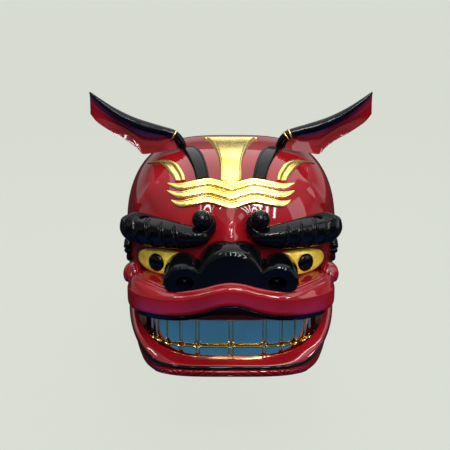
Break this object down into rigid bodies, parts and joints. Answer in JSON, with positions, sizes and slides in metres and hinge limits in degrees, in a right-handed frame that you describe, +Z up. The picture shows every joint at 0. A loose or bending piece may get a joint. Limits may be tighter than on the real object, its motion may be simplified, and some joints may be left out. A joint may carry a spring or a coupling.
{
  "type": "lion dance head",
  "caption": "Carved and lacquered lion dance head with gilded teeth, a lower jaw that opens on two pins, and ears that swing on pegs.",
  "frame": {"origin": "centre line of the lower jaw's flat underside, under the middle of the mouth", "axes": "+X to the picture's right, across the face; -Y the way the face looks; +Z up"},
  "size_m": [0.379, 0.2804, 0.3447],
  "materials": {
    "red_lacquer": "glossy red lacquer over carved wood",
    "black_lacquer": "glossy black lacquer over carved wood",
    "gold_leaf": "burnished gold leaf over carved wood",
    "bare_wood": "plain turned wood"
  },
  "bodies": {
    "head": {"upper_head": "red_lacquer", "upper_lip": "red_lacquer", "lip_edge": "black_lacquer", "upper_teeth": "gold_leaf", "nose": "black_lacquer", "wave_lower": "gold_leaf", "wave_middle": "gold_leaf", "wave_upper": "gold_leaf", "crown_stripe": "gold_leaf", "eyebrow_left": "black_lacquer", "eye_left": "gold_leaf", "pupil_left": "black_lacquer", "cheek_left": "red_lacquer", "side_curl_left": "black_lacquer", "crown_band_left": "black_lacquer", "temple_leaf_left": "gold_leaf", "hinge_pin_left": "bare_wood", "eyebrow_right": "black_lacquer", "eye_right": "gold_leaf", "pupil_right": "black_lacquer", "cheek_right": "red_lacquer", "side_curl_right": "black_lacquer", "crown_band_right": "black_lacquer", "temple_leaf_right": "gold_leaf", "hinge_pin_right": "bare_wood"},
    "jaw": {"lower_jaw": "red_lacquer", "lower_teeth": "gold_leaf", "jaw_edge": "black_lacquer", "chin_beard": "red_lacquer"},
    "ear_left": {"ear_left": "black_lacquer"},
    "ear_right": {"ear_right": "black_lacquer"}
  },
  "joints": [
    {"name": "jaw_hinge", "type": "hinge", "parent": "head", "child": "jaw", "pos_m": [0, 0.088, 0.106], "axis": [1, 0, 0], "range_deg": [0, 30]},
    {"name": "ear_left_swing", "type": "hinge", "parent": "head", "child": "ear_left", "pos_m": [-0.065, 0.016, 0.27063], "axis": [-0.178, -0.1521, 0.9722], "range_deg": [-15, 15]},
    {"name": "ear_right_swing", "type": "hinge", "parent": "head", "child": "ear_right", "pos_m": [0.065, 0.016, 0.27063], "axis": [0.178, -0.1521, 0.9722], "range_deg": [-15, 15]}
  ]
}
